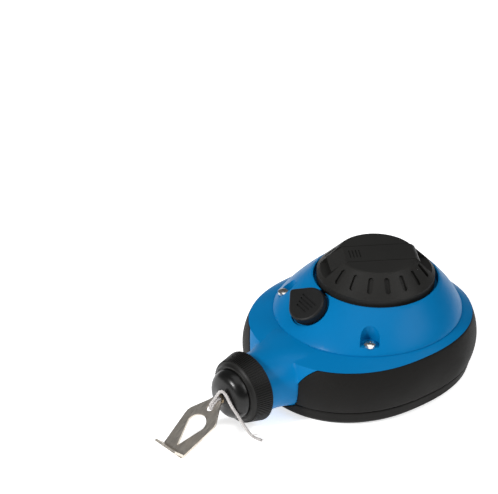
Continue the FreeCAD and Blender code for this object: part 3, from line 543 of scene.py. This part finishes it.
def ribbedCollar():
    c = collarShape
    back = c["rearY"]
    front = back + c["length"]
    ribEnd = back + c["ribbedLength"]
    profile = [
        (back, c["bore"]), (back, c["rearRadius"] - 0.55), (back + 0.12, c["rearRadius"] - 0.22),
        (back + 0.5, c["rearRadius"] - 0.08), (ribEnd, c["midRadius"]),
        (ribEnd + 0.25, c["midRadius"] - 0.12),
        (ribEnd + 0.45, c["midRadius"] - 0.5), (front - 0.9, c["frontRadius"] + 0.35),
        (front - 0.35, c["frontRadius"] + 0.1), (front - 0.08, c["frontRadius"] - 0.15),
        (front, c["frontRadius"] - 0.45), (front, c["lipBore"]), (front - c["lipLength"] * 2.6, c["lipBore"]),
        (front - c["lipLength"] * 2.6, c["bore"]), (back, c["bore"]),
    ]
    points = [(along * mm, radius * mm) for along, radius in profile]
    start = Vector(c["centre"]) * mm
    piece = spunProfile("ribbedCollar", points, start, (0, -1, 0), (1, 0, 0), c["steps"])
    # every other strip of the grip band is drawn outwards into a rib
    pickOnly(piece)
    bpy.ops.object.mode_set(mode="EDIT")
    bpy.ops.mesh.select_mode(type="FACE")
    bpy.ops.mesh.select_all(action="DESELECT")
    bpy.ops.object.mode_set(mode="OBJECT")
    low, high = -(ribEnd - 0.1) * mm, -(back + 0.4) * mm
    for face in piece.data.polygons:
        middle = face.center - start
        radius = math.hypot(middle.x, middle.z)
        strip = math.floor((math.degrees(math.atan2(middle.z, middle.x)) % 360) / (360 / c["steps"]))
        face.select = bool(low < middle.y < high and radius > (c["midRadius"] - 0.6) * mm and strip % 2)
    bpy.ops.object.mode_set(mode="EDIT")
    bpy.ops.mesh.extrude_faces_move(TRANSFORM_OT_shrink_fatten={"value": c["ribHeight"] * mm})
    bpy.ops.object.mode_set(mode="OBJECT")
    smoothByAngle(piece, 28)
    return piece


collar = ribbedCollar()
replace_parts(collar, "nose_collar")
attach(collar, "collar")
noseLook = {"nose_dome": ("noseDome", "nose", 30), "line_eyelet": ("eyelet", "nose", 30),
            "end_hook": ("endHook", "hook", 30)}
for node, (name, body, degrees) in noseLook.items():
    piece = mergedCopy(node, name, degrees)
    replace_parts(piece, node)
    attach(piece, body)
print("nose and hook are made")

# ---- case screws ----
screwShape = {
    "places": [(28.4, -29.6), (-28.4, -29.6), (0.0, 34.8)],
    "seat": 33.6,
    "headRadius": 2.8,
    "headHeight": 1.9,
    "shankRadius": 1.45,
    "tip": 12.0,
    "crossLength": 3.2,
    "crossWidth": 0.72,
    "crossDepth": 1.15,
    "steps": 48,
    "turnEach": 37,
}


def panScrew():
    s = screwShape
    r, h = s["headRadius"], s["headHeight"]
    low = s["tip"] - s["seat"]
    profile = [(low, 0.0), (low + 1.2, s["shankRadius"]), (0.0, s["shankRadius"]),
               (0.0, r - 0.12), (0.12, r), (0.62 * h, r - 0.05), (0.80 * h, r - 0.42), (0.92 * h, r - 0.98),
               (0.985 * h, r - 1.7), (h, 0.0)]
    points = [(a * mm, b * mm) for a, b in profile]
    screw = spunProfile("caseScrew", points, (0, 0, s["seat"] * mm), (0, 0, 1), (1, 0, 0), s["steps"])
    cutters = []
    for turnDegrees in (20, 110):
        deselectAll()
        bpy.ops.mesh.primitive_cube_add(size=1.0, location=(0, 0, (s["seat"] + h) * mm),
                                        rotation=(0, 0, math.radians(turnDegrees)))
        bar = bpy.context.object
        bar.scale = (s["crossLength"] * mm, s["crossWidth"] * mm, s["crossDepth"] * 2 * mm)
        placeInMesh(bar)
        bpy.ops.object.mode_set(mode="EDIT")
        bpy.ops.mesh.select_mode(type="VERT")
        bpy.ops.mesh.select_all(action="DESELECT")
        bpy.ops.object.mode_set(mode="OBJECT")
        for vertex in bar.data.vertices:
            vertex.select = vertex.co.z < s["seat"] * mm + h * mm
        bpy.ops.object.mode_set(mode="EDIT")
        bpy.ops.transform.resize(value=(0.35, 0.55, 1.0), center_override=(0, 0, s["seat"] * mm))
        bpy.ops.object.mode_set(mode="OBJECT")
        cutters.append(bar)
    for bar in cutters:
        cut = screw.modifiers.new("cross", "BOOLEAN")
        cut.operation = "DIFFERENCE"
        cut.object = bar
        cut.solver = "EXACT"
    applyAll(screw)
    for bar in cutters:
        bpy.data.objects.remove(bar)
    smoothByAngle(screw, 32)
    return screw


firstScrew = panScrew()
for i in range(len(screwShape["places"])):
    screw = firstScrew if i == 0 else firstScrew.copy()
    if i:
        screw.data = firstScrew.data.copy()
        scene.collection.objects.link(screw)
    screw.name = "caseScrew%d" % (i + 1)
for i, (x, y) in enumerate(screwShape["places"]):
    screw = bpy.data.objects["caseScrew%d" % (i + 1)]
    turned = Matrix.Rotation(math.radians(screwShape["turnEach"] * i), 4, "Z")
    screw.data.transform(Matrix.Translation((x * mm, y * mm, 0)) @ turned)
    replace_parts(screw, "case_screws")
    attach(screw, "case")
    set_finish(screw, "screw_steel")
print("case screws are set")


# ---- shader node groups ----
def nodeGroup(name, inputs, outputs):
    group = bpy.data.node_groups.new(name, "ShaderNodeTree")
    for label, kind, value in inputs:
        socket = group.interface.new_socket(name=label, in_out="INPUT", socket_type=kind)
        if value is not None:
            socket.default_value = value
    for label, kind in outputs:
        group.interface.new_socket(name=label, in_out="OUTPUT", socket_type=kind)
    entry = group.nodes.new("NodeGroupInput")
    leave = group.nodes.new("NodeGroupOutput")
    return group, entry, leave


def noiseNode(tree, vector, scale, detail, roughness=0.5):
    noise = tree.nodes.new("ShaderNodeTexNoise")
    noise.inputs["Detail"].default_value = detail
    noise.inputs["Roughness"].default_value = roughness
    if isinstance(scale, (int, float)):
        noise.inputs["Scale"].default_value = scale
    else:
        tree.links.new(scale, noise.inputs["Scale"])
    tree.links.new(vector, noise.inputs["Vector"])
    return noise


def mathNode(tree, operation, first, second):
    node = tree.nodes.new("ShaderNodeMath")
    node.operation = operation
    for socket, value in zip(node.inputs, (first, second)):
        if isinstance(value, (int, float)):
            socket.default_value = value
        else:
            tree.links.new(value, socket)
    return node.outputs["Value"]


def rangeNode(tree, value, fromLow, fromHigh, toLow, toHigh):
    node = tree.nodes.new("ShaderNodeMapRange")
    tree.links.new(value, node.inputs["Value"])
    limits = {"From Min": fromLow, "From Max": fromHigh, "To Min": toLow, "To Max": toHigh}
    for label, amount in limits.items():
        if isinstance(amount, (int, float)):
            node.inputs[label].default_value = amount
        else:
            tree.links.new(amount, node.inputs[label])
    return node.outputs["Result"]


def buildMouldedSurface():
    # slight waviness and fine grain of moulded plastic or rubber, with softly changing gloss
    group, entry, leave = nodeGroup("mouldedSurface", [
        ("Vector", "NodeSocketVector", None), ("Colour", "NodeSocketColor", (0.5, 0.5, 0.5, 1.0)),
        ("Grain Scale", "NodeSocketFloat", 900.0), ("Grain Share", "NodeSocketFloat", 0.5),
        ("Wave Scale", "NodeSocketFloat", 60.0), ("Roughness", "NodeSocketFloat", 0.4),
        ("Gloss Change", "NodeSocketFloat", 0.06), ("Tone Change", "NodeSocketFloat", 0.08)],
        [("Colour", "NodeSocketColor"), ("Roughness", "NodeSocketFloat"), ("Height", "NodeSocketFloat")])
    grain = noiseNode(group, entry.outputs["Vector"], entry.outputs["Grain Scale"], 3.0)
    wave = noiseNode(group, entry.outputs["Vector"], entry.outputs["Wave Scale"], 2.0)
    patch = noiseNode(group, entry.outputs["Vector"], 38.0, 4.0, 0.6)
    fine = mathNode(group, "MULTIPLY", grain.outputs["Fac"], entry.outputs["Grain Share"])
    height = mathNode(group, "ADD", fine, wave.outputs["Fac"])
    group.links.new(height, leave.inputs["Height"])
    swing = rangeNode(group, patch.outputs["Fac"], 0.3, 0.7, -1.0, 1.0)
    change = mathNode(group, "MULTIPLY", swing, entry.outputs["Gloss Change"])
    speck = mathNode(group, "MULTIPLY", mathNode(group, "SUBTRACT", grain.outputs["Fac"], 0.5),
                     entry.outputs["Gloss Change"])
    rough = mathNode(group, "ADD", mathNode(group, "ADD", change, speck), entry.outputs["Roughness"])
    group.links.new(rough, leave.inputs["Roughness"])
    tone = mathNode(group, "MULTIPLY", swing, entry.outputs["Tone Change"])
    tone = mathNode(group, "ADD", tone, 1.0)
    scaled = group.nodes.new("ShaderNodeVectorMath")
    scaled.operation = "SCALE"
    group.links.new(entry.outputs["Colour"], scaled.inputs[0])
    group.links.new(tone, scaled.inputs["Scale"])
    group.links.new(scaled.outputs["Vector"], leave.inputs["Colour"])
    return group


def buildWornMetal():
    # drawn lines in one direction, faint stains and fine scratches
    group, entry, leave = nodeGroup("wornMetal", [
        ("Vector", "NodeSocketVector", None), ("Colour", "NodeSocketColor", (0.5, 0.5, 0.5, 1.0)),
        ("Stain", "NodeSocketColor", (0.3, 0.25, 0.2, 1.0)), ("Stain Share", "NodeSocketFloat", 0.3),
        ("Line Stretch", "NodeSocketVector", (1.0, 1.0, 1.0)), ("Line Scale", "NodeSocketFloat", 1500.0),
        ("Roughness", "NodeSocketFloat", 0.3), ("Gloss Change", "NodeSocketFloat", 0.12)],
        [("Colour", "NodeSocketColor"), ("Roughness", "NodeSocketFloat"), ("Height", "NodeSocketFloat")])
    stretched = group.nodes.new("ShaderNodeVectorMath")
    stretched.operation = "MULTIPLY"
    group.links.new(entry.outputs["Vector"], stretched.inputs[0])
    group.links.new(entry.outputs["Line Stretch"], stretched.inputs[1])
    lines = noiseNode(group, stretched.outputs["Vector"], entry.outputs["Line Scale"], 4.0, 0.65)
    patch = noiseNode(group, entry.outputs["Vector"], 140.0, 5.0, 0.62)
    stain = rangeNode(group, patch.outputs["Fac"], 0.42, 0.68, 0.0, entry.outputs["Stain Share"])
    mix = group.nodes.new("ShaderNodeMix")
    mix.data_type = "RGBA"
    group.links.new(stain, mix.inputs["Factor"])
    group.links.new(entry.outputs["Colour"], mix.inputs["A"])
    group.links.new(entry.outputs["Stain"], mix.inputs["B"])
    tone = rangeNode(group, lines.outputs["Fac"], 0.25, 0.75, 0.86, 1.12)
    scaled = group.nodes.new("ShaderNodeVectorMath")
    scaled.operation = "SCALE"
    group.links.new(mix.outputs["Result"], scaled.inputs[0])
    group.links.new(tone, scaled.inputs["Scale"])
    group.links.new(scaled.outputs["Vector"], leave.inputs["Colour"])
    change = rangeNode(group, lines.outputs["Fac"], 0.3, 0.7, -1.0, 1.0)
    change = mathNode(group, "MULTIPLY", change, entry.outputs["Gloss Change"])
    rough = mathNode(group, "ADD", change, entry.outputs["Roughness"])
    rough = mathNode(group, "ADD", rough, mathNode(group, "MULTIPLY", stain, 0.15))
    group.links.new(rough, leave.inputs["Roughness"])
    group.links.new(lines.outputs["Fac"], leave.inputs["Height"])
    return group


def buildSpunFibre():
    # soft fibres of cotton line and felt, with darker hollows
    group, entry, leave = nodeGroup("spunFibre", [
        ("Vector", "NodeSocketVector", None), ("Colour", "NodeSocketColor", (0.8, 0.8, 0.8, 1.0)),
        ("Shade", "NodeSocketColor", (0.5, 0.5, 0.5, 1.0)), ("Fibre Scale", "NodeSocketFloat", 2500.0),
        ("Shade Share", "NodeSocketFloat", 0.4)],
        [("Colour", "NodeSocketColor"), ("Roughness", "NodeSocketFloat"), ("Height", "NodeSocketFloat")])
    fibre = noiseNode(group, entry.outputs["Vector"], entry.outputs["Fibre Scale"], 4.0, 0.7)
    clump = noiseNode(group, entry.outputs["Vector"], 420.0, 3.0)
    both = mathNode(group, "ADD", mathNode(group, "MULTIPLY", fibre.outputs["Fac"], 0.6),
                    mathNode(group, "MULTIPLY", clump.outputs["Fac"], 0.4))
    share = rangeNode(group, both, 0.62, 0.34, 0.0, entry.outputs["Shade Share"])
    mix = group.nodes.new("ShaderNodeMix")
    mix.data_type = "RGBA"
    group.links.new(share, mix.inputs["Factor"])
    group.links.new(entry.outputs["Colour"], mix.inputs["A"])
    group.links.new(entry.outputs["Shade"], mix.inputs["B"])
    group.links.new(mix.outputs["Result"], leave.inputs["Colour"])
    group.links.new(rangeNode(group, fibre.outputs["Fac"], 0.2, 0.8, 0.82, 0.98), leave.inputs["Roughness"])
    group.links.new(both, leave.inputs["Height"])
    return group


groups = {"mouldedSurface": buildMouldedSurface(), "wornMetal": buildWornMetal(),
          "spunFibre": buildSpunFibre()}


def finish(name, groupName, groupValues, bumpDistance, bumpStrength, socketValues):
    # one material: object coordinates into its group, and the group into the shader and its bump
    material = bpy.data.materials.new(name)
    material.use_nodes = True
    tree = material.node_tree
    shader = tree.nodes["Principled BSDF"]
    coordinates = tree.nodes.new("ShaderNodeTexCoord")
    surface = tree.nodes.new("ShaderNodeGroup")
    surface.node_tree = groups[groupName]
    tree.links.new(coordinates.outputs["Object"], surface.inputs["Vector"])
    for label, value in groupValues.items():
        surface.inputs[label].default_value = value
    tree.links.new(surface.outputs["Colour"], shader.inputs["Base Color"])
    tree.links.new(surface.outputs["Roughness"], shader.inputs["Roughness"])
    bump = tree.nodes.new("ShaderNodeBump")
    bump.inputs["Distance"].default_value = bumpDistance
    bump.inputs["Strength"].default_value = bumpStrength
    tree.links.new(surface.outputs["Height"], bump.inputs["Height"])
    tree.links.new(bump.outputs["Normal"], shader.inputs["Normal"])
    for label, value in socketValues.items():
        shader.inputs[label].default_value = value
    return material


def plasticValues(colour, grainScale, grainShare, waveScale, roughness, glossChange, toneChange):
    return {"Colour": (*colour, 1.0), "Grain Scale": grainScale, "Grain Share": grainShare,
            "Wave Scale": waveScale, "Roughness": roughness, "Gloss Change": glossChange,
            "Tone Change": toneChange}


def metalValues(colour, stain, stainShare, stretch, lineScale, roughness, glossChange):
    return {"Colour": (*colour, 1.0), "Stain": (*stain, 1.0), "Stain Share": stainShare,
            "Line Stretch": stretch, "Line Scale": lineScale, "Roughness": roughness,
            "Gloss Change": glossChange}


def fibreValues(colour, shade, fibreScale, shadeShare):
    return {"Colour": (*colour, 1.0), "Shade": (*shade, 1.0), "Fibre Scale": fibreScale,
            "Shade Share": shadeShare}


slotMaterials = {
    "shell_blue": finish("shellBlue", "mouldedSurface",
                         plasticValues((0.0002, 0.163, 0.405), 1400.0, 0.16, 95.0, 0.34, 0.03, 0.03),
                         0.00006, 0.35, {"Specular IOR Level": 0.09}),
    "grip_black": finish("gripBlack", "mouldedSurface",
                         plasticValues((0.0088, 0.0083, 0.0076), 2600.0, 1.3, 120.0, 0.62, 0.10, 0.14),
                         0.00012, 0.65, {"Specular IOR Level": 0.12}),
    "dial_charcoal": finish("dialCharcoal", "mouldedSurface",
                            plasticValues((0.0200, 0.0195, 0.0183), 2200.0, 0.8, 110.0, 0.42, 0.08, 0.12),
                            0.00007, 0.5, {"Specular IOR Level": 0.10}),
    "lever_black": finish("leverBlack", "mouldedSurface",
                          plasticValues((0.0088, 0.0088, 0.0086), 2200.0, 0.7, 110.0, 0.44, 0.08, 0.10),
                          0.00007, 0.5, {"Specular IOR Level": 0.25}),
    "collar_black": finish("collarBlack", "mouldedSurface",
                           plasticValues((0.0095, 0.0093, 0.0087), 2300.0, 0.8, 120.0, 0.44, 0.08, 0.12),
                           0.00007, 0.5, {"Specular IOR Level": 0.20}),
    "nose_black": finish("noseBlack", "mouldedSurface",
                         plasticValues((0.0035, 0.0035, 0.0033), 1800.0, 0.25, 120.0, 0.28, 0.04, 0.08),
                         0.00005, 0.3, {"Specular IOR Level": 0.36}),
    "inner_plastic": finish("innerPlastic", "mouldedSurface",
                            plasticValues((0.09, 0.09, 0.095), 1800.0, 0.5, 120.0, 0.50, 0.06, 0.08),
                            0.00006, 0.5, {"Specular IOR Level": 0.45}),
    "gear_plastic": finish("gearPlastic", "mouldedSurface",
                           plasticValues((0.70, 0.69, 0.63), 1800.0, 0.4, 120.0, 0.42, 0.06, 0.05),
                           0.00005, 0.4, {"Specular IOR Level": 0.5}),
    "bearing_plastic": finish("bearingPlastic", "mouldedSurface",
                              plasticValues((0.74, 0.73, 0.68), 1800.0, 0.4, 120.0, 0.36, 0.06, 0.05),
                              0.00005, 0.4, {"Specular IOR Level": 0.5}),
    "gasket_rubber": finish("gasketRubber", "mouldedSurface",
                            plasticValues((0.02, 0.02, 0.02), 2400.0, 0.9, 120.0, 0.66, 0.08, 0.1),
                            0.00008, 0.6, {"Specular IOR Level": 0.35}),
    "hook_steel": finish("hookSteel", "wornMetal",
                         metalValues((0.66, 0.61, 0.54), (0.30, 0.24, 0.18), 0.45,
                                     (2.6, 0.16, 0.16), 1500.0, 0.34, 0.10),
                         0.00002, 0.45, {"Metallic": 1.0}),
    "screw_steel": finish("screwSteel", "wornMetal",
                          metalValues((0.78, 0.76, 0.73), (0.42, 0.38, 0.33), 0.25,
                                     (1.0, 1.0, 0.3), 1200.0, 0.16, 0.06),
                          0.00001, 0.4, {"Metallic": 1.0}),
    "axle_steel": finish("axleSteel", "wornMetal",
                         metalValues((0.50, 0.50, 0.50), (0.30, 0.27, 0.24), 0.25,
                                     (1.0, 1.0, 0.2), 1600.0, 0.28, 0.08),
                         0.00002, 0.4, {"Metallic": 1.0}),
    "eyelet_brass": finish("eyeletBrass", "wornMetal",
                           metalValues((0.20, 0.155, 0.10), (0.12, 0.08, 0.05), 0.35,
                                     (1.0, 0.3, 1.0), 1500.0, 0.25, 0.08),
                           0.00001, 0.4, {"Metallic": 1.0}),
    "line_string": finish("lineCotton", "spunFibre",
                          fibreValues((0.60, 0.575, 0.565), (0.27, 0.25, 0.24), 3200.0, 0.65),
                          0.00012, 0.7, {"Specular IOR Level": 0.2, "Sheen Weight": 0.08,
                                          "Sheen Roughness": 0.5}),
    "felt": finish("feltWool", "spunFibre",
                   fibreValues((0.62, 0.60, 0.54), (0.40, 0.38, 0.34), 2600.0, 0.6),
                   0.00015, 0.8, {"Specular IOR Level": 0.15, "Sheen Weight": 0.3, "Sheen Roughness": 0.6}),
}

floorMaterial = bpy.data.materials.new("studioPaper")
floorMaterial.use_nodes = True
floorShader = floorMaterial.node_tree.nodes["Principled BSDF"]
floorShader.inputs["Base Color"].default_value = studio["floorColour"]
floorShader.inputs["Roughness"].default_value = 0.9
floorShader.inputs["Specular IOR Level"].default_value = 0.1
floorShader.inputs["Emission Color"].default_value = studio["floorColour"]
floorShader.inputs["Emission Strength"].default_value = studio["floorGlow"]
floor.data.materials.append(floorMaterial)

# each shown piece and CAD node takes the material of its record slot
nodeSlots = {row["node"]: row["material_slot"] for row in frame["record"]["subparts"]}
for piece in list(scene.objects):
    if piece.type != "MESH" or piece.get("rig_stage"):
        continue
    slotName = piece.get("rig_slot")
    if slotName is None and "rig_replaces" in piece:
        slotName = nodeSlots[list(piece["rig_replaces"])[0]]
        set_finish(piece, slotName)
    if slotName is None:
        slotName = nodeSlots[piece["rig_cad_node"]]
    piece.data.materials.clear()
    piece.data.materials.append(slotMaterials[slotName])
print("materials are placed")
